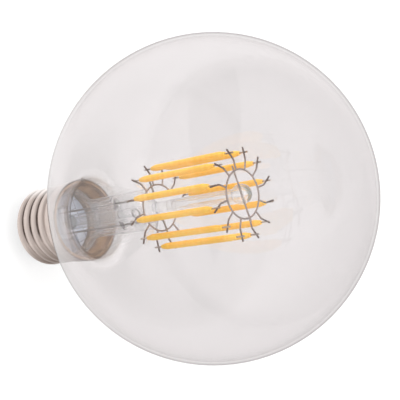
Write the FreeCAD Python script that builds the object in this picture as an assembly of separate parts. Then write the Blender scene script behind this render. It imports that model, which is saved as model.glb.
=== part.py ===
import FreeCAD, Part
import math
import os

# A clear globe lamp with twelve light filaments in a cage and a 27 mm screw cap.
# The lamp stands on its end contact: Z runs up the lamp's axis from the contact's flat face to
# the crown, and X lies in the plane of the two lead wires. Sizes are in millimetres and degrees.

V = FreeCAD.Vector
ORIGIN = V(0, 0, 0)
UP = V(0, 0, 1)
TOUCH = 1e-6

# Screw cap
CAP_H = 27.0
SHELL_Z = 6.2
SHEET = 0.3
PITCH = 3.629
THREAD_STEP = 0.1
THREAD_DEPTH = 1.05
RIDGE_R = 1.67
RIDGE_TURN = 69.5
RIDGE_Z = 8.15
THREAD_START = 1.6
THREAD_END = 2.0
SKIRT_R = 13.2
SKIRT_H = 4.6
RIM_FLARE = 0.25
RIM_FLARE_H = 1.0
LIP_W = 0.75
LIP_BEND = 0.8

# End contact and its insulator
CONTACT_R = 5.2
CONTACT_FLAT_R = 3.9
CONTACT_T = 1.2
CONTACT_EDGE_T = 0.4
EYELET_R = 1.6
EYELET_H = 2.6
INSULATOR_TOP = 1.5
INSULATOR_FLOOR = 3.0
INSULATOR_WELL_R = 3.2
INSULATOR_HOLLOW = 0.9
INSULATOR_CLEAR = 0.05

# Glass envelope
GLOBE_R = 47.5
GLOBE_Z = 83.0
GLASS = 0.9
NECK_PROUD = 1.0
SEAL_DEPTH = 6.4
SEAL_H = 1.6
NECK_TAPER_H = 2.6

# Basing cement
NECK_GAP = 0.7
SEAL_GAP = 0.75
CEMENT_CLEAR = 0.1
CEMENT_FLOOR = 0.4

# Stem
STEM_R = 6.2
STEM_GLASS = 1.1
FLARE_H = 11.7
FLARE_RIM_H = 1.2
STEM_HOLLOW_Z = 44.0
HOLLOW_PRESS_H = 7.0
PINCH_W = 13.0
PINCH_T = 5.6
PINCH_PRESS_H = 4.0
PINCH_TOP_Z = 56.5
SHOULDER_H = 3.0
EXHAUST_R = 2.5
EXHAUST_BORE_R = 1.4
EXHAUST_TIP_Z = 17.8
EXHAUST_HOLE_Z = 53.0
EXHAUST_HOLE_R = 1.5
ROD_R = 1.9
BEAD_R = 3.0

# Filament cage
TOP_RING_Z = 94.2
BOTTOM_RING_Z = 61.2
RING_R = 7.05
WIRE_R = 0.26
ARM_COUNT = 12
ARM_TURN = -5.0
ARM_KINK_R = 10.1
ARM_KINK = 26.0
ARM_KINK_BEND = 0.8
ARM_OUTER = 3.75
RING_GAP = 2.2
WELD_SINK = 0.1
WIRE_END = 1.2

# Filaments
COAT_R = 0.97
COAT_END_R = 0.6
COAT_TAPER = 2.0
COAT_STANDOFF = 1.9
FILAMENT_SEAT = 0.58
TAB_W = 0.5
TAB_T = 0.2
TAB_PAST = 1.2

# Lead wires
LEAD_X = 3.6
LEAD_R = 0.3
LEAD_BEND = 1.2
LEAD_STUB = 0.8
KNOT_R = 0.65
KNOT_Z = 48.2

# Driver in the cap
BOARD_GAP = 1.15
BOARD_Z = 14.6
BOARD_T = 1.0
CAN_R = 2.5
CAN_H = 5.2
CAN_GROOVE = 0.25
CAN_GROOVE_Z = 1.1
CAN_TURN = -110.0
CAN_FROM_AXIS = 5.8
VENT_W = 0.35
VENT_DEPTH = 0.3
FUSE_R = 1.2
FUSE_H = 4.0
FUSE_ROUND = 0.4
FUSE_WIRE_R = 0.35
FUSE_SOLDER_Z = 0.6
BLOCK_L, BLOCK_W, BLOCK_H = 4.7, 3.9, 2.4
BLOCK_TURN = 75.0
BLOCK_FROM_AXIS = 6.4
CHIP_L, CHIP_W, CHIP_H = 4.9, 3.9, 1.5
CHIP_TURN = 150.0
CHIP_FROM_AXIS = 6.6
LEG_W, LEG_T, LEG_OUT = 0.6, 0.25, 0.9
CHIP_LEGS, CHIP_LEG_STEP = 4, 1.27
BLOCK_LEGS, BLOCK_LEG_STEP = 2, 2.5
SHELL_LEAD_R = 0.3
SHELL_LEAD_TURN = -20.5
SHELL_LEAD_BEND = 0.9
SHELL_LEAD_RISE = 1.2
SHELL_LEAD_INSET = 1.0
RIM_WELD_R = 0.8
RIM_WELD_CLEAR = 0.2

# Worked out from the values above
SKIRT_IN = SKIRT_R - SHEET
THREAD_R = SKIRT_R - THREAD_STEP
ROOT_R = THREAD_R - THREAD_DEPTH
ROOT_IN = ROOT_R - SHEET
LIP_HOLE_R = ROOT_R - LIP_BEND - LIP_W
NECK_R = SKIRT_IN - NECK_GAP
NECK_IN = NECK_R - GLASS
NECK_TOP_Z = CAP_H + NECK_PROUD
SEAL_R = ROOT_IN - SEAL_GAP
SEAL_Z = CAP_H - SEAL_DEPTH
SEAL_IN = SEAL_R - GLASS
TAPER_Z = SEAL_Z + SEAL_H
BOARD_R = ROOT_IN - BOARD_GAP
BOARD_TOP = BOARD_Z + BOARD_T
ARM_STEP = 360.0 / ARM_COUNT
CROSSBAR_Z = TOP_RING_Z - 2 * WIRE_R + WELD_SINK
LEAD_TOP_Z = BOTTOM_RING_Z - WIRE_R - LEAD_R + WELD_SINK


def polar(radius, turn, z=0.0):
    """A point at a distance from the axis, turned about it, at a height."""
    angle = math.radians(turn)
    return V(radius * math.cos(angle), radius * math.sin(angle), z)


def line(a, b):
    return Part.LineSegment(a, b).toShape()


def arc(a, middle, b):
    return Part.Arc(a, middle, b).toShape()


def turned(edges):
    """The solid that a closed profile in the XZ plane sweeps when it turns once about the axis."""
    face = Part.Face(Part.Wire(edges))
    return face.revolve(ORIGIN, UP, 360)


def polygon_edges(points):
    """The edges of a closed polygon, from (radius, height) pairs."""
    corners = [V(r, 0, z) for r, z in points]
    return [line(a, b) for a, b in zip(corners, corners[1:] + corners[:1])]


def disc_rod(radius, height, at, direction=UP):
    return Part.makeCylinder(radius, height, at, direction)


def wire_path(points, bends):
    """A path of straight runs through points, with a tangent arc of its own radius at each inner one."""
    edges = []
    start = points[0]
    for before, corner, after, radius in zip(points, points[1:], points[2:], bends):
        into = (corner - before).normalize()
        out = (after - corner).normalize()
        half_turn = into.getAngle(out) / 2
        setback = radius * math.tan(half_turn)
        first = corner - into * setback
        last = corner + out * setback
        inward = (out - into).normalize()
        centre = corner + inward * (radius / math.cos(half_turn))
        edges.append(line(start, first))
        edges.append(arc(first, centre - inward * radius, last))
        start = last
    edges.append(line(start, points[-1]))
    return Part.Wire(edges)


def bent_wire(points, bends, radius):
    """A round wire along straight runs and tangent arcs."""
    path = wire_path(points, bends)
    section = Part.Circle(points[0], points[1] - points[0], radius).toShape()
    return path.makePipeShell([Part.Wire(section)], True, True)


def tangent_shoulder(sphere_r, sphere_z, neck_r, neck_z):
    """Radius of the arc that leaves an upright neck at neck_z and runs smoothly into the ball."""
    drop = sphere_z - neck_z
    return (drop ** 2 + neck_r ** 2 - sphere_r ** 2) / (2 * (sphere_r - neck_r))


def globe_outline(offset):
    """Points of the envelope's outline from the shoulder up, pushed inwards by offset."""
    bend = tangent_shoulder(GLOBE_R, GLOBE_Z, NECK_R, NECK_TOP_Z)
    centre_r = NECK_R + bend
    angle = math.atan2(GLOBE_Z - NECK_TOP_Z, centre_r)
    ball = GLOBE_R - offset
    arc_r = bend + offset
    neck = V(NECK_R - offset, 0, NECK_TOP_Z)
    middle = V(centre_r - arc_r * math.cos(angle / 2), 0, NECK_TOP_Z + arc_r * math.sin(angle / 2))
    join = V(centre_r - arc_r * math.cos(angle), 0, NECK_TOP_Z + arc_r * math.sin(angle))
    side = V(ball, 0, GLOBE_Z)
    crown = V(0, 0, GLOBE_Z + ball)
    return neck, middle, join, side, crown


def glass_globe():
    """The blown envelope: ball, shoulder and neck, open at the end where the stem is sealed in."""
    neck, middle, join, side, crown = globe_outline(0)
    neck_in, middle_in, join_in, side_in, crown_in = globe_outline(GLASS)
    taper_top = TAPER_Z + NECK_TAPER_H
    outside = [V(SEAL_R, 0, SEAL_Z), V(SEAL_R, 0, TAPER_Z), V(NECK_R, 0, taper_top), neck]
    inside = [V(SEAL_IN, 0, SEAL_Z), V(SEAL_IN, 0, TAPER_Z), V(NECK_IN, 0, taper_top), neck_in]
    edges = [line(a, b) for a, b in zip(outside, outside[1:])]
    edges += [arc(neck, middle, join), arc(join, side, crown), line(crown, crown_in)]
    edges += [arc(crown_in, side_in, join_in), arc(join_in, middle_in, neck_in)]
    edges += [line(a, b) for a, b in zip(inside[::-1], inside[-2::-1])]
    edges.append(line(inside[0], outside[0]))
    return turned(edges)


def ellipse_wire(half_x, half_y, z):
    """A level ellipse, wide along X unless it is round."""
    centre = V(0, 0, z)
    if math.isclose(half_x, half_y):
        return Part.Wire(Part.Circle(centre, UP, half_x).toShape())
    return Part.Wire(Part.Ellipse(V(half_x, 0, z), V(0, half_y, z), centre).toShape())


def flare():
    """The stem's tube, belled out at its foot to the rim that is sealed to the neck."""
    foot_z = SEAL_Z + FLARE_RIM_H
    reach = SEAL_IN - STEM_R
    half = math.atan2(reach, FLARE_H)
    bell = FLARE_H / math.sin(2 * half)
    top_z = foot_z + FLARE_H
    centre = V(STEM_R + bell, 0, top_z)
    bore = STEM_R - STEM_GLASS

    def on_bell(radius, angle):
        return centre + V(-radius * math.cos(angle), 0, -radius * math.sin(angle))

    thick = bell + STEM_GLASS
    foot_in = on_bell(thick, 2 * half)
    edges = [
        line(V(bore, 0, STEM_HOLLOW_Z), V(STEM_R, 0, STEM_HOLLOW_Z)),
        line(V(STEM_R, 0, STEM_HOLLOW_Z), V(STEM_R, 0, top_z)),
        arc(V(STEM_R, 0, top_z), on_bell(bell, half), on_bell(bell, 2 * half)),
        line(V(SEAL_IN, 0, foot_z), V(SEAL_IN, 0, SEAL_Z)),
        line(V(SEAL_IN, 0, SEAL_Z), V(foot_in.x, 0, SEAL_Z)),
        line(V(foot_in.x, 0, SEAL_Z), foot_in),
        arc(foot_in, on_bell(thick, half), V(bore, 0, top_z)),
        line(V(bore, 0, top_z), V(bore, 0, STEM_HOLLOW_Z)),
    ]
    return turned(edges)


def pinch():
    """The stem's pressed end: the tube squeezed flat round the leads, drawn in to the rod above."""
    press_z = STEM_HOLLOW_Z - HOLLOW_PRESS_H
    sections = [
        ellipse_wire(STEM_R, STEM_R, press_z),
        ellipse_wire(PINCH_W / 2, PINCH_T / 2, STEM_HOLLOW_Z + PINCH_PRESS_H),
        ellipse_wire(PINCH_W / 2, PINCH_T / 2, PINCH_TOP_Z),
        ellipse_wire(ROD_R, ROD_R, PINCH_TOP_Z + SHOULDER_H),
    ]
    body = Part.makeLoft(sections[:2], True, True)
    for lower, upper in zip(sections[1:], sections[2:]):
        body = body.fuse(Part.makeLoft([lower, upper], True, True))
    bore = STEM_R - STEM_GLASS
    end_x = PINCH_W / 2 - STEM_GLASS
    end_y = PINCH_T / 2 - STEM_GLASS
    hollow = Part.makeLoft(
        [ellipse_wire(bore, bore, press_z), ellipse_wire(end_x, end_y, STEM_HOLLOW_Z)], True, True
    )
    return body.cut(hollow)


def exhaust_tube():
    """The tube the lamp was pumped through, melted shut at its lower tip."""
    shut_z = EXHAUST_TIP_Z + EXHAUST_R
    tip = V(0, 0, EXHAUST_TIP_Z)
    tip_side = V(EXHAUST_R * math.sin(math.pi / 4), 0, shut_z - EXHAUST_R * math.cos(math.pi / 4))
    top = STEM_HOLLOW_Z + WELD_SINK
    edges = [
        arc(tip, tip_side, V(EXHAUST_R, 0, shut_z)),
        line(V(EXHAUST_R, 0, shut_z), V(EXHAUST_R, 0, top)),
        line(V(EXHAUST_R, 0, top), V(0, 0, top)),
        line(V(0, 0, top), tip),
    ]
    return turned(edges)


def glass_stem(wires):
    """Flare, exhaust tube, pinch, rod and bead as one fused piece, with its wires sealed in."""
    press_z = STEM_HOLLOW_Z - HOLLOW_PRESS_H
    below_pinch = disc_rod(SEAL_R, press_z - SEAL_Z, V(0, 0, SEAL_Z))
    stem = flare().common(below_pinch)
    rod_z = PINCH_TOP_Z + SHOULDER_H
    rod = disc_rod(ROD_R, CROSSBAR_Z - rod_z, V(0, 0, rod_z))
    bead = Part.makeSphere(BEAD_R, V(0, 0, CROSSBAR_Z))
    for piece in (pinch(), exhaust_tube(), rod, bead):
        stem = stem.fuse(piece)
    bore_z = EXHAUST_TIP_Z + EXHAUST_R
    bore = disc_rod(EXHAUST_BORE_R, EXHAUST_HOLE_Z - bore_z, V(0, 0, bore_z))
    hole = disc_rod(EXHAUST_HOLE_R, PINCH_T, V(0, 0, EXHAUST_HOLE_Z), V(0, 1, 0))
    stem = stem.cut(bore).cut(hole)
    for wire in wires:
        stem = stem.cut(wire)
    return stem.removeSplitter()


def thread_ridge(inset):
    """The round ridge of the right-hand thread: a coil from below the shell to inside its skirt."""
    radius = THREAD_R - RIDGE_R
    turns_below = math.ceil((RIDGE_Z + RIDGE_R - SHELL_Z) / PITCH)
    low = RIDGE_Z - turns_below * PITCH
    high = CAP_H - SKIRT_H + RIDGE_R
    helix = Part.Wire(Part.makeLongHelix(PITCH, high - low, radius))
    along = V(0, 2 * math.pi * radius, PITCH)
    section = Part.Circle(V(radius, 0, 0), along, RIDGE_R - inset).toShape()
    coil = helix.makePipeShell([Part.Wire(section)], True, True)
    coil.rotate(ORIGIN, UP, RIDGE_TURN)
    coil.translate(V(0, 0, low))
    return coil


def foot_edges(inset):
    """The rounded foot of the shell: from the axis along the lip and round its bend to the wall."""
    bend = LIP_BEND - inset
    centre = V(ROOT_R - LIP_BEND, 0, SHELL_Z + LIP_BEND)
    slant = bend * math.sqrt(0.5)
    under = V(centre.x, 0, centre.z - bend)
    side = V(centre.x + bend, 0, centre.z)
    return [line(V(0, 0, under.z), under), arc(under, centre + V(slant, 0, -slant), side)], side


def closed_to_axis(edges, points):
    """Carries an open profile on through points and back to the axis, and turns it to a solid."""
    corners = [edges[-1].Vertexes[-1].Point] + points
    edges = edges + [line(a, b) for a, b in zip(corners, corners[1:])]
    edges.append(line(corners[-1], edges[0].Vertexes[0].Point))
    return turned(edges)


def shell_core(inset):
    """The shell's turned form without its thread: foot, plain wall, skirt and flared rim."""
    edges, side = foot_edges(inset)
    skirt_z = CAP_H - SKIRT_H
    skirt = SKIRT_R - inset
    points = [
        V(side.x, 0, skirt_z - THREAD_END), V(skirt, 0, skirt_z), V(skirt, 0, CAP_H - RIM_FLARE_H),
        V(skirt + RIM_FLARE, 0, CAP_H), V(0, 0, CAP_H),
    ]
    return closed_to_axis(edges, points)


def thread_limit(inset):
    """The round-nosed form that the thread's lower end runs out on."""
    edges, side = foot_edges(inset)
    nose = (THREAD_DEPTH ** 2 + THREAD_START ** 2) / (2 * THREAD_DEPTH)
    centre = V(THREAD_R - nose, 0, side.z + THREAD_START)
    nose = nose - inset
    inward = side.x - centre.x
    foot = V(side.x, 0, centre.z - math.sqrt(nose ** 2 - inward ** 2))
    middle = math.atan2(centre.z - foot.z, inward) / 2
    half_way = centre + V(nose * math.cos(middle), 0, -nose * math.sin(middle))
    crest = centre + V(nose, 0, 0)
    if not foot.isEqual(side, TOUCH):
        edges.append(line(side, foot))
    edges.append(arc(edges[-1].Vertexes[-1].Point, half_way, crest))
    clear = V(SKIRT_R + RIDGE_R, 0, crest.z)
    return closed_to_axis(edges, [clear, V(clear.x, 0, CAP_H), V(0, 0, CAP_H)])


def cap_shell():
    """The screw shell, one rolled sheet: lip, thread, skirt and flared rim."""
    outside, inside = [
        shell_core(inset).fuse(thread_ridge(inset).common(thread_limit(inset))) for inset in (0, SHEET)
    ]
    hole = disc_rod(LIP_HOLE_R, 2 * SHEET, V(0, 0, SHELL_Z))
    return outside.cut(inside).cut(hole)


def cap_insulator():
    """The black cone that fills the shell's foot and holds the end contact away from it."""
    hole = LIP_HOLE_R - INSULATOR_CLEAR
    seat_r = ROOT_R - LIP_BEND
    seat_z = SHELL_Z + SHEET
    floor_z = CONTACT_T + INSULATOR_FLOOR
    top_z = seat_z + INSULATOR_TOP
    waist_r = (CONTACT_R + hole) / 2 + INSULATOR_HOLLOW
    waist_z = (CONTACT_T + seat_z) / 2
    profile = polygon_edges([
        (EYELET_R, CONTACT_T), (CONTACT_R, CONTACT_T), (waist_r, waist_z), (hole, SHELL_Z),
        (hole, seat_z), (seat_r, seat_z), (seat_r, top_z), (hole, top_z),
        (INSULATOR_WELL_R, floor_z), (EYELET_R, floor_z),
    ])
    return turned(profile)


def centre_contact(lead):
    """The end contact: a flat-faced button with an eyelet that is filled round the fuse's lead."""
    flat = V(CONTACT_FLAT_R, 0, 0)
    rim = V(CONTACT_R, 0, CONTACT_T - CONTACT_EDGE_T)
    round_r = (rim - flat).Length ** 2 / (2 * rim.z)
    half = math.atan2(rim.z, rim.x - flat.x)
    bulge = flat + V(round_r * math.sin(half), 0, round_r * (1 - math.cos(half)))
    eyelet_z = CONTACT_T + EYELET_H
    edges = [
        line(ORIGIN, flat),
        arc(flat, bulge, rim),
        line(rim, V(CONTACT_R, 0, CONTACT_T)),
        line(V(CONTACT_R, 0, CONTACT_T), V(EYELET_R, 0, CONTACT_T)),
        line(V(EYELET_R, 0, CONTACT_T), V(EYELET_R, 0, eyelet_z)),
        line(V(EYELET_R, 0, eyelet_z), V(0, 0, eyelet_z)),
        line(V(0, 0, eyelet_z), ORIGIN),
    ]
    return turned(edges).cut(lead)


def basing_cement(lead):
    """The cement between neck and shell, stepped in where it runs down inside the thread."""
    step_z = CAP_H - SKIRT_H
    low_r = ROOT_IN - CEMENT_CLEAR
    taper_top = TAPER_Z + NECK_TAPER_H
    profile = polygon_edges([
        (SEAL_R, SEAL_Z + CEMENT_FLOOR), (low_r, SEAL_Z + CEMENT_FLOOR), (low_r, step_z),
        (SKIRT_IN, step_z), (SKIRT_IN, CAP_H),
        (NECK_R, CAP_H), (NECK_R, taper_top), (SEAL_R, TAPER_Z),
    ])
    return turned(profile).cut(lead)


def ring_wire(z, start, sweep):
    """A round wire bent to the cage's ring, from a turn through a sweep."""
    across = polar(1, start + 90)
    disc = Part.Face(Part.Wire(Part.Circle(polar(RING_R, start, z), across, WIRE_R).toShape()))
    return disc.revolve(ORIGIN, UP, sweep)


def arm_points(turn, z):
    """Root, kink and tip of an arm, which bends aside at the kink."""
    kink = polar(ARM_KINK_R, turn, z)
    return [polar(RING_R, turn, z), kink, kink + polar(ARM_OUTER, turn + ARM_KINK)]


def spider(z, start, sweep, turns):
    """A ring, or part of one, with its kinked arms welded on."""
    arms = [bent_wire(arm_points(turn, z), [ARM_KINK_BEND], WIRE_R) for turn in turns]
    return ring_wire(z, start, sweep).fuse(arms).removeSplitter()


def arm_turn(number):
    return ARM_TURN + ARM_STEP * number


def half_spider(side):
    """Half of the bottom ring with half of the arms, split midway between two arms."""
    half = ARM_COUNT // 2
    first = half * side - half // 2 + 1 - half
    gap = math.degrees(RING_GAP / RING_R)
    start = arm_turn(first) - ARM_STEP / 2 + gap / 2
    sweep = ARM_STEP * half - gap
    return spider(BOTTOM_RING_Z, start, sweep, [arm_turn(first + i) for i in range(half)])


def crossbar(ring):
    """The straight wire through the bead; the top ring lies in its two weld notches."""
    reach = RING_R + WIRE_R + WIRE_END
    bar = disc_rod(WIRE_R, 2 * reach, V(-reach, 0, CROSSBAR_Z), V(1, 0, 0))
    return bar.cut(ring)


def lead_wire(side, ring):
    """A lead from the board up through the pinch, with a weld knot there, bent out below its half ring."""
    reach = RING_R + WIRE_R + WIRE_END
    x = LEAD_X * side
    points = [V(x, 0, BOARD_Z - LEAD_STUB), V(x, 0, LEAD_TOP_Z), V(reach * side, 0, LEAD_TOP_Z)]
    knot = Part.makeSphere(KNOT_R, V(x, 0, KNOT_Z))
    return bent_wire(points, [LEAD_BEND], LEAD_R).fuse(knot).cut(ring).removeSplitter()


def filament_place(number):
    """Where a filament's line stands: beside its arm's outer run, by half an arm and half a tab."""
    turn = arm_turn(number)
    root, kink, tip = arm_points(turn, 0)
    aside = polar(WIRE_R + TAB_T / 2 - WELD_SINK, turn + ARM_KINK - 90)
    return kink + (tip - kink) * FILAMENT_SEAT + aside


def filament(number):
    """A light stick: a round phosphor coat with ends drawn in like a pencil's."""
    low = BOTTOM_RING_Z + COAT_STANDOFF
    high = TOP_RING_Z - COAT_STANDOFF
    stick = turned(polygon_edges([
        (0, low), (COAT_END_R, low), (COAT_R, low + COAT_TAPER),
        (COAT_R, high - COAT_TAPER), (COAT_END_R, high), (0, high),
    ]))
    stick.translate(filament_place(number))
    return stick


def filament_tabs(number, spiders):
    """The two end strips of a stick, each laid along its arm and welded there."""
    length = COAT_STANDOFF + TAB_PAST
    tabs = []
    for z in (BOTTOM_RING_Z - TAB_PAST, TOP_RING_Z - COAT_STANDOFF):
        tab = Part.makeBox(TAB_W, TAB_T, length, V(-TAB_W / 2, -TAB_T / 2, z))
        tab.rotate(ORIGIN, UP, arm_turn(number) + ARM_KINK)
        tab.translate(filament_place(number))
        for piece in spiders:
            tab = tab.cut(piece)
        tabs.append(tab)
    return Part.makeCompound(tabs)


def under_board(shape, turn, from_axis):
    """Hangs a shape that is drawn standing on the axis from the board's underside."""
    shape.rotate(ORIGIN, V(1, 0, 0), 180)
    shape.translate(V(from_axis, 0, BOARD_Z))
    shape.rotate(ORIGIN, UP, turn)
    return shape


def driver_board(leads):
    """The round board that carries the driver, with its leads soldered through."""
    board = disc_rod(BOARD_R, BOARD_T, V(0, 0, BOARD_Z))
    for lead in leads:
        board = board.cut(lead)
    return board


def capacitor():
    """The hanging can with its crimp groove and a cross-shaped vent in its free end."""
    can = disc_rod(CAN_R, CAN_H, ORIGIN)
    groove = Part.makeTorus(CAN_R, CAN_GROOVE, V(0, 0, CAN_GROOVE_Z))
    can = can.cut(groove)
    slot = Part.makeBox(CAN_R, VENT_W, VENT_DEPTH, V(-CAN_R / 2, -VENT_W / 2, CAN_H - VENT_DEPTH))
    cross = slot.copy()
    cross.rotate(ORIGIN, UP, 90)
    can = can.cut(slot).cut(cross)
    return under_board(can, CAN_TURN, CAN_FROM_AXIS)


def legged_block(size, legs, step, turn, from_axis):
    """A moulded block with legs out of both long sides, soldered under the board."""
    length, width, height = size
    body = Part.makeBox(length, width, height - LEG_T, V(-length / 2, -width / 2, LEG_T))
    body = body.makeChamfer(LEG_T, [e for e in body.Edges if e.BoundBox.ZMin > height - LEG_T])
    for i in range(legs):
        x = (i - (legs - 1) / 2) * step - LEG_W / 2
        foot = Part.makeBox(LEG_W, width + 2 * LEG_OUT, LEG_T, V(x, -width / 2 - LEG_OUT, 0))
        body = body.fuse(foot)
    return under_board(body.removeSplitter(), turn, from_axis)


def fuse_resistor():
    """The fusible resistor under the board, on the lead from the end contact to the board."""
    low = BOARD_Z - LEAD_STUB - FUSE_H
    body = disc_rod(FUSE_R, FUSE_H, V(0, 0, low))
    body = body.makeFillet(FUSE_ROUND, [e for e in body.Edges if e.Closed])
    wire = disc_rod(FUSE_WIRE_R, BOARD_TOP + LEAD_STUB - FUSE_SOLDER_Z, V(0, 0, FUSE_SOLDER_Z))
    return body.fuse(wire).removeSplitter()


def shell_lead():
    """The lead from the board to the shell, up through the cement and melted to a bead on the rim."""
    rise_r = (NECK_R + SKIRT_IN) / 2
    seal_r = (SEAL_R + ROOT_IN - CEMENT_CLEAR) / 2
    low_r = BOARD_R - SHELL_LEAD_INSET
    points = [
        (low_r, BOARD_Z - LEAD_STUB), (low_r, BOARD_TOP + SHELL_LEAD_RISE),
        (seal_r, SEAL_Z - SHELL_LEAD_RISE), (seal_r, TAPER_Z),
        (rise_r, TAPER_Z + NECK_TAPER_H), (rise_r, CAP_H),
    ]
    bends = [SHELL_LEAD_BEND] * (len(points) - 2)
    wire = bent_wire([polar(r, SHELL_LEAD_TURN, z) for r, z in points], bends, SHELL_LEAD_R)
    weld_r = NECK_R + RIM_WELD_CLEAR + RIM_WELD_R
    bead = Part.makeSphere(RIM_WELD_R, polar(weld_r, SHELL_LEAD_TURN, CAP_H))
    above = disc_rod(2 * SKIRT_R, 2 * RIM_WELD_R, V(0, 0, CAP_H))
    return wire.fuse(bead.common(above)).removeSplitter()


def all_pieces():
    """Every piece by its name, in place."""
    pieces = {}
    pieces["glass_globe"] = glass_globe()
    top = spider(TOP_RING_Z, 0, 360, [arm_turn(i) for i in range(ARM_COUNT)])
    bottom_a, bottom_b = half_spider(1), half_spider(0)
    pieces["top_spider"] = top
    pieces["bottom_spider_a"] = bottom_a
    pieces["bottom_spider_b"] = bottom_b
    pieces["crossbar"] = crossbar(top)
    pieces["lead_wire_a"] = lead_wire(1, bottom_a)
    pieces["lead_wire_b"] = lead_wire(-1, bottom_b)
    for number in range(ARM_COUNT):
        pieces[f"filament_{number + 1:02d}"] = filament(number)
        pieces[f"filament_tabs_{number + 1:02d}"] = filament_tabs(number, (top, bottom_a, bottom_b))
    sealed = [pieces["crossbar"], pieces["lead_wire_a"], pieces["lead_wire_b"]]
    pieces["glass_stem"] = glass_stem(sealed)
    pieces["fuse_resistor"] = fuse_resistor()
    pieces["shell_lead"] = shell_lead()
    leads = [pieces[name] for name in ("lead_wire_a", "lead_wire_b", "fuse_resistor", "shell_lead")]
    pieces["driver_board"] = driver_board(leads)
    pieces["capacitor"] = capacitor()
    block = (BLOCK_L, BLOCK_W, BLOCK_H)
    pieces["bridge_rectifier"] = legged_block(
        block, BLOCK_LEGS, BLOCK_LEG_STEP, BLOCK_TURN, BLOCK_FROM_AXIS
    )
    chip = (CHIP_L, CHIP_W, CHIP_H)
    pieces["driver_chip"] = legged_block(chip, CHIP_LEGS, CHIP_LEG_STEP, CHIP_TURN, CHIP_FROM_AXIS)
    pieces["cap_shell"] = cap_shell()
    pieces["cap_insulator"] = cap_insulator()
    pieces["centre_contact"] = centre_contact(pieces["fuse_resistor"])
    pieces["basing_cement"] = basing_cement(pieces["shell_lead"])
    return pieces


os.makedirs("parts", exist_ok=True)
for name, shape in all_pieces().items():
    shape.exportStep(f"parts/{name}.step")
    print(name, len(shape.Solids), round(shape.Volume, 2), shape.isValid())
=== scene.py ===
# %% [markdown]
# # A clear globe lamp with a cage of light filaments
# The imported model holds every rigid piece of the lamp at its real size, down to the wires in the
# glass, so no piece is modelled anew here. This lesson gives each of them its finish, and sets up a
# white studio and a camera.
#
# The lamp stands on its end contact, with Z up its axis. The ball is as wide as the glass piece and
# ends at its top, which gives the ball's radius and its centre.

# %% Load the imported model
import bpy
from mathutils import Matrix, Vector

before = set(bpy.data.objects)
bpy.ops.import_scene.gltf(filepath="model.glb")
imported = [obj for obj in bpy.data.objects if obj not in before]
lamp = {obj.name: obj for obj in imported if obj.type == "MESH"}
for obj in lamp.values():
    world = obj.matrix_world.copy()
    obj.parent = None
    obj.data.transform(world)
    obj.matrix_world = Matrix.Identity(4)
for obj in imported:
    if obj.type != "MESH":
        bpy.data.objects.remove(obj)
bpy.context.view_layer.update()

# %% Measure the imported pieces
MM = 0.001


def heights(name):
    """How high a piece's lowest and highest points lie above the end contact, in millimetres."""
    levels = [corner[2] / MM for corner in lamp[name].bound_box]
    return min(levels), max(levels)


BALL_RADIUS = max(corner[0] for corner in lamp["glass_globe"].bound_box)
BALL_CENTRE = Vector((0, 0, heights("glass_globe")[1] * MM - BALL_RADIUS))
print("ball's radius and the height of its centre in mm:",
      round(BALL_RADIUS / MM, 2), round(BALL_CENTRE.z / MM, 2))

# %% [markdown]
# ## The camera
# In the photograph the lamp lies on its side with its crown towards us, while the model stands on
# its contact. The model could be laid down, but then it would lie in every other view too. So the
# camera is turned about its own axis until the model lies as in the picture. Its place and its three
# directions were worked out from the ball, the cap's rim and the rings. The level direction that is
# up in the photograph is kept too, because the floor's glow in mirrors and the painted highlight and
# shade on the cap follow it.

# %% Camera
EYE = Vector((55.1, 218.1, 281.6)) * MM
RIGHT = Vector((-0.32106, -0.60213, 0.731))
UPWARD = Vector((0.92968, -0.34759, 0.122))
TOWARDS = RIGHT.cross(UPWARD)
UP_SIDE = Vector((UPWARD.x, UPWARD.y, 0)).normalized()
FOCUS_IN_PIXELS = 1040.17
PICTURE_WIDTH = 400

eye_data = bpy.data.cameras.new("picture_camera")
eye_data.sensor_width = 36.0
eye_data.lens = FOCUS_IN_PIXELS * eye_data.sensor_width / PICTURE_WIDTH
eye_data.clip_start, eye_data.clip_end = 0.01, 20.0
eye = bpy.data.objects.new("picture_camera", eye_data)
bpy.context.scene.collection.objects.link(eye)
eye.matrix_world = Matrix.Translation(EYE) @ Matrix((RIGHT, UPWARD, TOWARDS)).transposed().to_4x4()
bpy.context.scene.camera = eye
print("lens in mm:", round(eye_data.lens, 1))

# %% [markdown]
# ## Finishes as trees of nodes
# A finish could be one colour on the shader, but real nickel, cement or wire is never that even. So
# every finish below is a small tree of nodes. By hand, each node is added and wired with the mouse.
# Here one helper makes a material, one adds a node and links it in one line, and two do sums, on
# numbers and on points.

# %% Materials and nodes
def new_finish(name):
    """A node material with a Principled shader; gives the material, its node tree and the shader."""
    finish = bpy.data.materials.new(name)
    finish.use_nodes = True
    tree = finish.node_tree
    return finish, tree, tree.nodes["Principled BSDF"]


def add(tree, kind, inputs=None, **settings):
    """Adds a node, sets its properties, and links or fills its inputs by name or number."""
    node = tree.nodes.new(kind)
    for key, value in settings.items():
        setattr(node, key, value)
    for key, value in (inputs or {}).items():
        socket = node.inputs[key]
        if isinstance(value, bpy.types.NodeSocket):
            tree.links.new(value, socket)
        elif socket.type == "RGBA":
            socket.default_value = (*value, 1)
        else:
            socket.default_value = value
    return node


def calc(tree, operation, *values):
    """One step of arithmetic on numbers or patterns."""
    return add(tree, "ShaderNodeMath", dict(enumerate(values)), operation=operation).outputs[0]


def point_calc(tree, operation, *values):
    """One step of arithmetic on points or directions; gives the outputs of its node."""
    return add(tree, "ShaderNodeVectorMath", dict(enumerate(values)), operation=operation).outputs


print("helpers for nodes ready")

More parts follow.
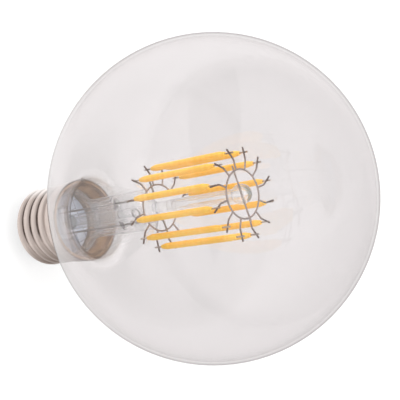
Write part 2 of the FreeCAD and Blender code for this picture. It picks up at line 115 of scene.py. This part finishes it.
# %% [markdown]
# ## Patterns
# A pattern is a number that differs from place to place. All of them start from a piece's Object
# coordinates, which are the lamp's own axes in metres, so a pattern stays on its piece in every view.
# Noise is the cloudy one. The other two are measures in millimetres, along a direction and out from
# the axis, and let a finish follow the lamp's real sizes.

# %% Patterns
def place(tree):
    """The point of the piece that is looked at, on the lamp's own axes, in metres."""
    return add(tree, "ShaderNodeTexCoord").outputs["Object"]


def noise(tree, scale, detail=4.0, stretch=(1, 1, 1)):
    """A cloudy pattern, stretched along chosen axes."""
    turned = add(tree, "ShaderNodeMapping", {"Vector": place(tree), "Scale": stretch}).outputs["Vector"]
    inputs = {"Vector": turned, "Scale": scale, "Detail": detail}
    return add(tree, "ShaderNodeTexNoise", inputs).outputs["Fac"]


def along(tree, direction):
    """How far a point lies along a direction, in millimetres."""
    return point_calc(tree, "DOT_PRODUCT", place(tree), Vector(direction) / MM)["Value"]


def from_axis(tree):
    """How far a point lies from the lamp's axis, in millimetres."""
    flat = point_calc(tree, "MULTIPLY", place(tree), (1 / MM, 1 / MM, 0))["Vector"]
    return point_calc(tree, "LENGTH", flat)["Value"]


print("helpers for patterns ready")

# %% [markdown]
# ## From pattern to finish
# A pattern becomes a finish when its range is carried over to a roughness or a share, when it mixes
# two colours, or when it raises small bumps. The last helper puts a finish on pieces by their names.

# %% Ranges, colours and bumps
def spread(tree, value, low, high, from_low=0.3, from_high=0.7):
    """Carries a pattern's range over to the range that a roughness, a share or a height needs."""
    return add(tree, "ShaderNodeMapRange", {"Value": value, "From Min": from_low, "From Max": from_high,
                                            "To Min": low, "To Max": high}).outputs["Result"]


def blend(tree, amount, first, second):
    """Mixes two colours, fixed ones or patterns, by an amount."""
    return add(tree, "ShaderNodeMix", {"Factor": amount, "A": first, "B": second},
               data_type="RGBA").outputs["Result"]


def bump(tree, height, distance, strength=0.5):
    """Small bumps that follow a pattern."""
    return add(tree, "ShaderNodeBump",
               {"Height": height, "Distance": distance, "Strength": strength}).outputs["Normal"]


def dress(finish, *names):
    """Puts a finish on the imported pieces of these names."""
    for name in names:
        lamp[name].material_slots[0].material = finish


print("helpers for finishes ready")

# %% [markdown]
# ## Light through glass
# Clear glass takes little light from what it shuts in. The rays that carry light to the cage could
# be followed through every mirror of the glass, but the grey of the glass in the photograph is mostly
# the room mirrored in it, and would then darken the cage as well. So those rays pass nearly whole,
# and the cage is as bright as in a real lamp. Only the eye and the mirrors see the glass as the next
# cells make it.

# %% Light through glass
CLEAR = (0.985, 0.983, 0.982)


def let_light_in(tree, look):
    """Shows a look to the eye and to mirrors, but lets rays that carry light to the cage pass."""
    path = add(tree, "ShaderNodeLightPath").outputs
    lighting = calc(tree, "MAXIMUM", path["Is Shadow Ray"], path["Is Diffuse Ray"])
    open_way = add(tree, "ShaderNodeBsdfTransparent", {"Color": CLEAR}).outputs[0]
    both = add(tree, "ShaderNodeMixShader", {0: lighting, 1: look, 2: open_way}).outputs[0]
    tree.links.new(both, tree.nodes["Material Output"].inputs["Surface"])


print("share of light that each face lets pass:", CLEAR)

# %% [markdown]
# ## The blown glass
# The envelope is a skin of clear glass under a millimetre thick. A refracting shader would be true
# too, but every ray would need four bends to cross it, and so thin a wall hardly moves the picture
# behind it. So each face lets the view pass straight on and mirrors a little, five percent face on
# and more at a slant. The bent wall of the shoulder mirrors more, and so does the low part of the
# ball seen from outside, which shows as a pale veil over the cap's skirt.
#
# Each face also takes away a little of the view, and the outer one more of it at the very edge, where
# the view runs a long way inside the wall. That draws the outline of ball and neck. Heights are in
# millimetres above the end contact.

# %% Glass of the globe
NECK_END = heights("cap_shell")[1]
SHOULDER, BALL_START, LOW_BALL, MID_BALL = NECK_END + 4, NECK_END + 19, NECK_END + 25, NECK_END + 45
MIDDLE_OF_WALL = BALL_RADIUS - 0.45 * MM
FACE_ON, AT_A_SLANT, ON_SHOULDER, IN_VEIL = 0.05, 0.07, 0.28, 0.95
BALL_GREY, BALL_EDGE, NECK_EDGE = (0.918, 0.909, 0.911), (0.5, 0.475, 0.475), (0.6, 0.585, 0.585)
MIRROR, VEIL_MIRROR, EDGE_MIRROR = (0.95, 0.935, 0.935), (0.7, 0.685, 0.685), (0.45, 0.43, 0.435)


def veil_share(tree, height, outer):
    """How much the low part of the ball mirrors where it is seen from outside."""
    veil = calc(tree, "MULTIPLY", spread(tree, height, 0.0, 1.0, BALL_START - 3, BALL_START + 1),
                spread(tree, height, IN_VEIL, 0.0, LOW_BALL, MID_BALL))
    back = add(tree, "ShaderNodeNewGeometry").outputs["Backfacing"]
    return calc(tree, "MULTIPLY", veil, calc(tree, "GREATER_THAN", outer, back))


def mirror_share(tree, height, slant, veil):
    """How much a face mirrors in all."""
    shoulder = calc(tree, "MULTIPLY", spread(tree, height, 0.0, ON_SHOULDER, NECK_END, SHOULDER),
                    spread(tree, height, 1.0, 0.0, SHOULDER, BALL_START))
    share = calc(tree, "ADD", shoulder, FACE_ON)
    share = calc(tree, "MULTIPLY_ADD", calc(tree, "POWER", slant, 3.0), AT_A_SLANT, share)
    return calc(tree, "MULTIPLY_ADD", slant, veil, share)


def clear_wall(name):
    """The thin wall of the globe, which mirrors a share and lets the rest pass straight on."""
    finish, tree, shader = new_finish(name)
    tree.nodes.remove(shader)
    height = along(tree, (0, 0, 1))
    slant = add(tree, "ShaderNodeLayerWeight", {"Blend": 0.5}).outputs["Facing"]
    away = point_calc(tree, "DISTANCE", place(tree), BALL_CENTRE)["Value"]
    outer = calc(tree, "GREATER_THAN", away, MIDDLE_OF_WALL)
    veil = veil_share(tree, height, outer)
    outline = calc(tree, "POWER", slant, spread(tree, height, 5.0, 7.5, NECK_END, BALL_START))
    outline = calc(tree, "MULTIPLY", outline, outer)

    on_neck = blend(tree, outline, CLEAR, NECK_EDGE)
    on_ball = blend(tree, outline, BALL_GREY, BALL_EDGE)
    tint = blend(tree, spread(tree, height, 0.0, 1.0, NECK_END, BALL_START), on_neck, on_ball)
    mirrored = blend(tree, outline, blend(tree, veil, MIRROR, VEIL_MIRROR), EDGE_MIRROR)
    through = add(tree, "ShaderNodeBsdfTransparent", {"Color": tint}).outputs[0]
    mirror = add(tree, "ShaderNodeBsdfGlossy", {"Color": mirrored, "Roughness": 0.0}).outputs[0]
    share = mirror_share(tree, height, slant, veil)
    let_light_in(tree, add(tree, "ShaderNodeMixShader", {0: share, 1: through, 2: mirror}).outputs[0])
    return finish


dress(clear_wall("clear_blown_glass"), "glass_globe")
print("globe glazed, cap's rim at", round(NECK_END, 2), "mm")

# %% [markdown]
# ## Marks of the flame
# A stem is made in the flame, which leaves marks on it. The exhaust tube is melted shut and smoky at
# its tip, the mouth of the pump hole is dark, and so is the seam where the hollow of the tube ends.
# The glass that was melted round the crossbar at the top of the bead is a grey green. The marks could
# be painted on, but a test on the place in millimetres is shorter.

# %% Marks of the flame
TIP_END = heights("glass_stem")[0] + 1.8
PUMP_HOLE = Vector((0, 0, 53)) * MM
HOLE_RADIUS = 1.5 * MM
HOLE_SIDE = 2.1
SEAM, SEAM_HALF_HEIGHT = 43.8, 0.25
SEAM_MIDDLE, SEAM_HALF_WIDTH = 1.4, 1.0
BEAD = sum(heights("crossbar")) / 2


def dark_marks(tree, height, beside):
    """1 at the mouth of the pump hole and along the seam."""
    flat = point_calc(tree, "MULTIPLY", place(tree), (1, 0, 1))["Vector"]
    from_hole = point_calc(tree, "DISTANCE", flat, PUMP_HOLE)["Value"]
    mouth = calc(tree, "MULTIPLY", spread(tree, from_hole, 1.0, 0.0, HOLE_RADIUS, 1.1 * HOLE_RADIUS),
                 spread(tree, beside, 0.0, 1.0, HOLE_SIDE, HOLE_SIDE + 0.2))
    seam = calc(tree, "MULTIPLY", calc(tree, "COMPARE", height, SEAM, SEAM_HALF_HEIGHT),
                calc(tree, "COMPARE", beside, SEAM_MIDDLE, SEAM_HALF_WIDTH))
    return calc(tree, "MAXIMUM", mouth, seam)


def melted_top(tree, height, beside):
    """1 on the bead's top where it was melted round the crossbar."""
    bar = calc(tree, "ABSOLUTE", along(tree, (1, 0, 0)))
    melt = spread(tree, calc(tree, "ABSOLUTE", beside), 1.0, 0.0, 0.6, 1.2)
    melt = calc(tree, "MULTIPLY", melt, spread(tree, bar, 1.0, 0.0, 1.8, 2.6))
    return calc(tree, "MULTIPLY", melt, spread(tree, height, 0.0, 1.0, BEAD, BEAD + 1))


print("smoky up to", round(TIP_END, 2), "mm, crossbar at", round(BEAD, 2), "mm")

# %% [markdown]
# ## The pressed glass of the stem
# The stem is a tube that is flared at its foot and pressed flat at its head, with a solid rod drawn
# from it. The rod and its bead bend the light, so they get a refracting shader, mixed with a straight
# view that calms it. The tube below is thin and shows what lies behind it, so there most of the view
# passes straight on.

# %% Glass of the stem
TUBE_END, ROD_START = 54, 59
STEM_CLEAR, STEM_EDGE, ROD_CLEAR = (0.997, 0.997, 0.995), (0.82, 0.82, 0.83), (0.975, 0.978, 0.975)
SMOKE, DARK_MARK = (0.26, 0.28, 0.27), (0.35, 0.33, 0.33)
MELTED, MELTED_DEEP = (0.5, 0.55, 0.525), (0.45, 0.5, 0.475)


def pressed_glass(name):
    """Glass with the marks of the flame, straight to look through in the tube and bending in the rod."""
    finish, tree, shader = new_finish(name)
    tree.nodes.remove(shader)
    height, beside = along(tree, (0, 0, 1)), along(tree, (0, 1, 0))
    slant = add(tree, "ShaderNodeLayerWeight", {"Blend": 0.5}).outputs["Facing"]
    edge = calc(tree, "POWER", slant, 3.0)
    melt = melted_top(tree, height, beside)

    tone = blend(tree, edge, STEM_CLEAR, STEM_EDGE)
    tone = blend(tree, spread(tree, height, 1.0, 0.0, TIP_END, TIP_END + 0.5), tone, SMOKE)
    tone = blend(tree, dark_marks(tree, height, beside), tone, DARK_MARK)
    tone = blend(tree, melt, tone, MELTED)
    straight = add(tree, "ShaderNodeBsdfTransparent", {"Color": tone}).outputs[0]
    mirror = add(tree, "ShaderNodeBsdfGlossy", {"Color": (1, 1, 1), "Roughness": 0.35}).outputs[0]
    share = spread(tree, edge, 0.09, 0.5, 0.0, 1.0)
    tube = add(tree, "ShaderNodeMixShader", {0: share, 1: straight, 2: mirror}).outputs[0]

    body = blend(tree, melt, ROD_CLEAR, MELTED_DEEP)
    solid = add(tree, "ShaderNodeBsdfGlass", {"Color": body, "Roughness": 0.0, "IOR": 1.5}).outputs[0]
    upwards = spread(tree, height, 0.05, 0.6, TUBE_END, ROD_START)
    let_light_in(tree, add(tree, "ShaderNodeMixShader", {0: upwards, 1: tube, 2: solid}).outputs[0])
    return finish


dress(pressed_glass("clear_pressed_glass"), "glass_stem")
print("stem glazed, rod from", ROD_START, "mm")

# %% [markdown]
# ## Nickel
# The screw cap and the end contact are plated with nickel, a warm silver, brushed round the cap by the
# rolling. The fine lines could be wrapped round it by a map, but noise that is drawn long in both
# level directions gives such lines and needs no map.

# %% Plain nickel
def nickel(name):
    """Plain nickel; gives the material, its node tree, its shader and the colour of the plating."""
    finish, tree, shader = new_finish(name)
    lines = noise(tree, 900, 3, (0.06, 0.06, 1))
    plating = blend(tree, noise(tree, 260, 6), (0.5, 0.425, 0.388), (0.59, 0.515, 0.48))
    tree.links.new(plating, shader.inputs["Base Color"])
    tree.links.new(spread(tree, lines, 0.3, 0.44), shader.inputs["Roughness"])
    tree.links.new(bump(tree, lines, 0.02 * MM, 0.4), shader.inputs["Normal"])
    shader.inputs["Metallic"].default_value = 1.0
    return finish, tree, shader, plating


dress(nickel("contact_nickel")[0], "centre_contact")
print("end contact plated")

# %% [markdown]
# ## Painted shade and highlight on the screw cap
# The cap is thin sheet, rolled to a thread. The distance from the axis tells groove from crest, so
# dark brown painted shade in the grooves follows the thread by itself. It could be drawn on an image,
# but then it would have to be drawn again whenever the thread is changed.
#
# As in the photograph, the painted shade in the grooves fades out below the skirt and towards the
# lower side. The plating gets a painted highlight on the upper side and painted shade on the lower
# side, both laid over it by direction. The inside of the sheet is not plated but covered by a tan
# lacquer, and a face that looks towards the axis is an inside one.

# %% Nickel with painted shade and highlight
GROOVE, FLANK = 12.1, 12.42
# Heights where the painted shade in the grooves fades out.
GROOVE_SHADE_FADES, GROOVE_SHADE_ENDS = 18.8, 20.2
# Colours of the painted shade in the grooves and of a painted highlight on the upper side.
PAINTED_GROOVE_SHADE, PAINTED_HIGHLIGHT = (0.05, 0.03, 0.023), (0.85, 0.825, 0.81)
# Colour of the painted shade on the cap's lower side, and of the lacquer inside.
PAINTED_SHADE, LACQUER = (0.17, 0.125, 0.1), (0.5, 0.42, 0.35)


def faces_axis(tree):
    """1 where a face looks inwards to the lamp's axis, as the inside of the sheet does."""
    flat = point_calc(tree, "MULTIPLY", place(tree), (1, 1, 0))["Vector"]
    normal = add(tree, "ShaderNodeNewGeometry").outputs["True Normal"]
    return calc(tree, "LESS_THAN", point_calc(tree, "DOT_PRODUCT", flat, normal)["Value"], 0.0)


def nickel_with_painted_shade(name):
    """Nickel with painted shade in the grooves, a painted highlight above, painted shade below, and
    lacquer inside.
    """
    finish, tree, shader, plating = nickel(name)
    up = along(tree, UP_SIDE)
    # Painted shade in the grooves, faded by noise, towards the lower side and above the skirt.
    painted_groove_shade = spread(tree, from_axis(tree), 1.0, 0.0, GROOVE, FLANK)
    for limit in (spread(tree, noise(tree, 420, 5), 0.75, 1.0), spread(tree, up, 0.0, 1.0, -6.5, -2.5),
                  spread(tree, along(tree, (0, 0, 1)), 1.0, 0.0, GROOVE_SHADE_FADES, GROOVE_SHADE_ENDS)):
        painted_groove_shade = calc(tree, "MULTIPLY", painted_groove_shade, limit)
    tone = blend(tree, painted_groove_shade, plating, PAINTED_GROOVE_SHADE)
    # Painted highlight on the cap's upper side.
    tone = blend(tree, spread(tree, up, 0.0, 0.85, 8.5, 12.0), tone, PAINTED_HIGHLIGHT)
    # Painted shade on the cap's lower side.
    tone = blend(tree, spread(tree, up, 0.75, 0.0, -12.5, -6.5), tone, PAINTED_SHADE)
    inside = faces_axis(tree)
    tree.links.new(blend(tree, inside, tone, LACQUER), shader.inputs["Base Color"])
    tree.links.new(spread(tree, inside, 1.0, 0.0, 0.0, 1.0), shader.inputs["Metallic"])
    return finish


# The grooves carry painted shade up to the height printed below.
dress(nickel_with_painted_shade("rolled_nickel"), "cap_shell")
print("cap plated, film in the grooves up to", GROOVE_SHADE_ENDS, "mm")

# %% [markdown]
# ## Black glass of the insulator
# The cone between shell and contact is fused black glass. It is nearly plain: a deep colour with
# faint flow marks and a high gloss, which a noise in both colour and roughness gives.

# %% Insulator
def black_glass(name):
    """Deep black with faint flow marks."""
    finish, tree, shader = new_finish(name)
    flow = noise(tree, 180, 3)
    tone = blend(tree, flow, (0.008, 0.008, 0.011), (0.02, 0.019, 0.022))
    tree.links.new(tone, shader.inputs["Base Color"])
    tree.links.new(spread(tree, flow, 0.07, 0.16), shader.inputs["Roughness"])
    return finish


dress(black_glass("fused_black_glass"), "cap_insulator")
print("insulator done")

# %% [markdown]
# ## Basing cement
# The brown paste that holds the glass in the cap shows through the neck. It is baked resin and
# powder: matte, cloudy on the scale of millimetres, with fine grains. One noise could do for both,
# but then clouds and grains would go together. So a large noise makes the clouds and a fine one the
# grain, which also roughens the surface.

# %% Cement
def cement(name):
    """Cloudy brown with a rough grain."""
    finish, tree, shader = new_finish(name)
    cloud = spread(tree, noise(tree, 330, 5), 0.0, 1.0)
    grain = noise(tree, 2600, 3)
    tone = blend(tree, cloud, (0.235, 0.134, 0.066), (0.41, 0.268, 0.158))
    tree.links.new(tone, shader.inputs["Base Color"])
    tree.links.new(spread(tree, grain, 0.65, 0.9), shader.inputs["Roughness"])
    tree.links.new(bump(tree, grain, 0.12 * MM, 0.7), shader.inputs["Normal"])
    return finish


dress(cement("baked_cement"), "basing_cement")
print("cement done")

# %% [markdown]
# ## Drawn wire
# The cage and the leads are drawn nickel-iron wire, a warm grey with streaks from the die. The strips
# at the filament ends are stamped from sheet. All take one recipe with their own two greys. The
# welding heat has browned the outer ends of the cage's arms, and as they all point away from the
# axis, the distance from it says how far the brown goes.

# %% Wires and strips
BROWN_STARTS, BROWN_FULL = 8.5, 12.0
HEAT_BROWN = (0.15, 0.1, 0.08)


def drawn_metal(name, dark, pale, rough, heated=False):
    """Streaked metal of two greys, browned far from the axis where it was heated."""
    finish, tree, shader = new_finish(name)
    streak = noise(tree, 1400, 4)
    tone = blend(tree, spread(tree, streak, 0.0, 1.0), dark, pale)
    if heated:
        heat = spread(tree, from_axis(tree), 0.0, 0.85, BROWN_STARTS, BROWN_FULL)
        tone = blend(tree, heat, tone, HEAT_BROWN)
    tree.links.new(tone, shader.inputs["Base Color"])
    tree.links.new(spread(tree, streak, rough, rough + 0.15), shader.inputs["Roughness"])
    tree.links.new(bump(tree, streak, 0.02 * MM, 0.5), shader.inputs["Normal"])
    shader.inputs["Metallic"].default_value = 1.0
    return finish


cage_wire = drawn_metal("cage_wire", (0.44, 0.37, 0.345), (0.62, 0.54, 0.51), 0.35, heated=True)
dress(cage_wire, "top_spider", "crossbar", "bottom_spider_a", "bottom_spider_b")
lead_wire = drawn_metal("lead_wire", (0.34, 0.31, 0.285), (0.52, 0.485, 0.45), 0.3)
dress(lead_wire, "lead_wire_a", "lead_wire_b", "shell_lead")
tabs = [name for name in lamp if name.startswith("filament_tabs_")]
dress(drawn_metal("end_strip", (0.42, 0.36, 0.32), (0.58, 0.5, 0.45), 0.35), *tabs)
print("wires done:", len(tabs), "pairs of strips")

# %% [markdown]
# ## Phosphor of the filaments
# Each light stick is a row of tiny chips under silicone that is filled with yellow phosphor. Unlit
# it is a soft orange yellow. The silicone is a little see-through, so some light is let under the
# surface, and the hidden chips show as faint paler beats along the stick, made by a wave that runs up
# the lamp. A faint painted glow in the stick's own colour makes it look brighter than paint of that
# colour.

# %% Phosphor
def phosphor(name):
    """Soft orange yellow with a faint painted glow and paler beats."""
    finish, tree, shader = new_finish(name)
    beats = add(tree, "ShaderNodeTexWave", {"Vector": place(tree), "Scale": 150.0, "Distortion": 0.6},
                bands_direction="Z").outputs["Fac"]
    cloud = noise(tree, 700, 4)
    both = calc(tree, "MULTIPLY_ADD", beats, 0.3, cloud)
    tone = blend(tree, spread(tree, both, 0.0, 1.0, 0.3, 0.95), (0.98, 0.53, 0.045), (1.0, 0.61, 0.1))
    tree.links.new(tone, shader.inputs["Base Color"])
    tree.links.new(spread(tree, cloud, 0.4, 0.55), shader.inputs["Roughness"])
    tree.links.new(bump(tree, both, 0.03 * MM, 0.25), shader.inputs["Normal"])
    # Painted glow: a faint emission in the stick's own colour, though the lamp is off.
    tree.links.new(tone, shader.inputs["Emission Color"])
    shader.inputs["Emission Strength"].default_value = 0.2
    shader.inputs["Subsurface Weight"].default_value = 0.25
    shader.inputs["Subsurface Radius"].default_value = (1.0, 0.5, 0.15)
    shader.inputs["Subsurface Scale"].default_value = 0.6 * MM
    return finish


sticks = [name for name in lamp if name.startswith("filament_") and name not in tabs]
dress(phosphor("phosphor_silicone"), *sticks)
print("filaments coated:", len(sticks))

# %% [markdown]
# ## The driver in the cap
# Through the flare one looks down on a round board. It is lacquered blue grey over copper, so its
# pattern is a grid of paler and darker fields with thin dark lanes, as a brick pattern gives. The
# parts hang under it: a dull aluminium can, two blocks of black moulding, and a fuse in green-grey
# paint. They are hidden here but can be seen by whoever takes the model apart.

# %% Driver finishes
def lacquered_board(name):
    """Fields of blue grey with dark lanes between them."""
    finish, tree, shader = new_finish(name)
    fields = {"Color1": (0.31, 0.41, 0.58), "Color2": (0.74, 0.84, 1.0), "Mortar": (0.15, 0.15, 0.15)}
    grid = {"Scale": 1.0, "Brick Width": 5.5 * MM, "Row Height": 3.7 * MM, "Mortar Size": 0.13 * MM,
            "Mortar Smooth": 0.4, "Bias": 0.1}
    lanes = add(tree, "ShaderNodeTexBrick", {"Vector": place(tree), **fields, **grid})
    tree.links.new(lanes.outputs["Color"], shader.inputs["Base Color"])
    tree.links.new(spread(tree, noise(tree, 300), 0.3, 0.45), shader.inputs["Roughness"])
    return finish


def moulded(name, dark, pale, rough, metal=0.0):
    """A fine grain of two tones."""
    finish, tree, shader = new_finish(name)
    grain = noise(tree, 1800, 3)
    tree.links.new(blend(tree, grain, dark, pale), shader.inputs["Base Color"])
    tree.links.new(spread(tree, grain, rough, rough + 0.15), shader.inputs["Roughness"])
    tree.links.new(bump(tree, grain, 0.03 * MM, 0.4), shader.inputs["Normal"])
    shader.inputs["Metallic"].default_value = metal
    return finish


dress(lacquered_board("lacquered_board"), "driver_board")
dress(moulded("can_metal", (0.09, 0.09, 0.1), (0.15, 0.15, 0.16), 0.35, 0.6), "capacitor")
black = moulded("black_moulding", (0.02, 0.02, 0.022), (0.035, 0.035, 0.038), 0.5)
dress(black, "bridge_rectifier", "driver_chip")
dress(moulded("fuse_paint", (0.26, 0.34, 0.27), (0.36, 0.44, 0.36), 0.35), "fuse_resistor")
print("driver done")

# %% [markdown]
# ## A white floor
# The photograph has a plain white ground. More light would whiten a floor, but would bleach the lamp
# as well. A floor that shines for the camera gives that white without more light on the lamp, and
# what is left of it as plain matte keeps a soft shadow. The shine grows a little with the distance,
# where the lamps reach less, so that no horizon shows. Mirrors see the floor too, brighter on the
# photograph's upper side than on its lower side.

# %% Floor
FLOOR_RADIUS = 3.0
MATTE_WHITE = (0.3, 0.3, 0.3)
NEAR_SHINE, FAR_SHINE = 0.68, 0.74
LOW_SHINE, MID_SHINE, HIGH_EXTRA = 0.32, 0.85, 0.15

bpy.ops.object.select_all(action="DESELECT")
bpy.ops.mesh.primitive_circle_add(vertices=96, radius=FLOOR_RADIUS, fill_type="NGON", location=(0, 0, 0))
floor = bpy.context.object
floor.name = "studio_floor"

ground, tree, shader = new_finish("white_ground")
tree.nodes.remove(shader)
path = add(tree, "ShaderNodeLightPath").outputs
seen = calc(tree, "MAXIMUM", path["Is Camera Ray"], path["Is Glossy Ray"])
seen = calc(tree, "MAXIMUM", seen, path["Is Transmission Ray"])
reach = point_calc(tree, "LENGTH", place(tree))["Value"]
plain = spread(tree, reach, NEAR_SHINE, FAR_SHINE, 0.3, 1.6)
up = along(tree, UP_SIDE)
low_side = spread(tree, up, LOW_SHINE, MID_SHINE, -110, -10)
high_side = spread(tree, up, 0.0, HIGH_EXTRA, 0, 80)
mirrored = calc(tree, "ADD", low_side, high_side)
shine = add(tree, "ShaderNodeMix", {"Factor": path["Is Glossy Ray"], "A": plain, "B": mirrored})
shine = calc(tree, "MULTIPLY", seen, shine.outputs["Result"])
glow = add(tree, "ShaderNodeEmission", {"Color": (1, 1, 1), "Strength": shine})
matte = add(tree, "ShaderNodeBsdfDiffuse", {"Color": MATTE_WHITE})
both = add(tree, "ShaderNodeAddShader", {0: matte.outputs[0], 1: glow.outputs[0]}).outputs[0]
tree.links.new(both, tree.nodes["Material Output"].inputs["Surface"])
floor.data.materials.append(ground)
print("floor laid,", 2 * FLOOR_RADIUS, "m across")

# %% [markdown]
# ## A room to be mirrored
# Clear glass shows mostly what it mirrors, so the room above the floor matters. Lamps with hard edges
# would show as bright squares on the ball. Here the room itself is painted with soft levels of grey:
# two pale cloths hang left and right above the camera with a darker gap between them, the room is
# brighter above a low edge, and it grows darker towards the wall behind the lamp. Its foot takes on
# the tone of the floor, as where a paper sweep curves up, so that no hard horizon is mirrored. Only
# the camera sees it as plain white.

# %% Room
WALL, CLOTH, UPPER, FRONT = 0.08, 0.4, 0.15, 0.5
SWEEP_TOP = 0.22
FLOOR_DIM, FLOOR_EXTRA = 0.4, 0.6
OVERHEAD = UPWARD + TOWARDS

room = bpy.data.worlds.new("studio_room")
bpy.context.scene.world = room
room.use_nodes = True
tree = room.node_tree
out_there = add(tree, "ShaderNodeTexCoord").outputs["Generated"]


def side_of(edge, soft):
    """1 on one side of a straight edge in the room, 0 on the other, with a soft line between."""
    far = point_calc(tree, "DOT_PRODUCT", out_there, edge)["Value"]
    return add(tree, "ShaderNodeMapRange", {"Value": far, "From Min": -soft, "From Max": soft},
               interpolation_type="SMOOTHSTEP").outputs["Result"]


left_cloth = side_of(-RIGHT - 0.19 * OVERHEAD, 0.02)
right_cloth = side_of(RIGHT - 0.2 * OVERHEAD, 0.02)
above = side_of(0.2 * RIGHT + 0.8 * UPWARD + 0.45 * TOWARDS, 0.05)
level = calc(tree, "MULTIPLY_ADD", calc(tree, "MAXIMUM", left_cloth, right_cloth), CLOTH, WALL)
level = calc(tree, "MULTIPLY_ADD", above, UPPER, level)
level = calc(tree, "MULTIPLY_ADD", side_of(TOWARDS, 0.35), FRONT, level)
print("levels of grey painted")

# %% Sweep at the foot of the room
rise = add(tree, "ShaderNodeSeparateXYZ", {0: out_there}).outputs["Z"]
foot = {"Value": rise, "From Max": SWEEP_TOP, "To Min": 1.0, "To Max": 0.0}
sweep = add(tree, "ShaderNodeMapRange", foot, interpolation_type="SMOOTHSTEP").outputs["Result"]
floor_tone = calc(tree, "MULTIPLY_ADD", side_of(UP_SIDE, 0.3), FLOOR_EXTRA, FLOOR_DIM)
level = add(tree, "ShaderNodeMix", {"Factor": sweep, "A": level, "B": floor_tone}).outputs["Result"]
grey = add(tree, "ShaderNodeBackground", {"Color": (1.0, 0.985, 0.975), "Strength": level}).outputs[0]
white = add(tree, "ShaderNodeBackground", {"Color": (1, 1, 1), "Strength": 1.0}).outputs[0]
camera_ray = add(tree, "ShaderNodeLightPath").outputs["Is Camera Ray"]
both = add(tree, "ShaderNodeMixShader", {0: camera_ray, 1: grey, 2: white}).outputs[0]
tree.links.new(both, tree.nodes["World Output"].inputs["Surface"])
print("room painted")

# %% [markdown]
# ## Lamps
# Two large soft panels light the lamp, one from the photograph's top and one from overhead. They are
# kept out of the mirrors, as the cloths of the room do that part.

# %% Soft panels
def soft_panel(name, spot, width, power):
    """A square lamp that faces the globe."""
    data = bpy.data.lights.new(name, "AREA")
    data.shape = "SQUARE"
    data.size = width
    data.energy = power
    panel = bpy.data.objects.new(name, data)
    bpy.context.scene.collection.objects.link(panel)
    panel.location = spot
    panel.rotation_mode = "QUATERNION"
    panel.rotation_quaternion = (BALL_CENTRE - Vector(spot)).to_track_quat("-Z", "Y")
    panel.visible_glossy = False
    print(name, "of", power, "W and", width, "m width hung")


soft_panel("top_panel", (0.75, -0.1, 0.45), 0.8, 5.5)
soft_panel("overhead_panel", (0.0, 0.3, 1.1), 1.2, 7.0)

# %% [markdown]
# ## Last settings
# Colours are shown as they are written, with no film curve. The glass walls lie many deep in the
# neck, so rays may cross more of them than usual.

# %% Settings
scene = bpy.context.scene
scene.view_settings.view_transform = "Standard"
scene.cycles.transparent_max_bounces = 32
scene.cycles.transmission_bounces = 16
scene.cycles.glossy_bounces = 16
scene.cycles.max_bounces = 16
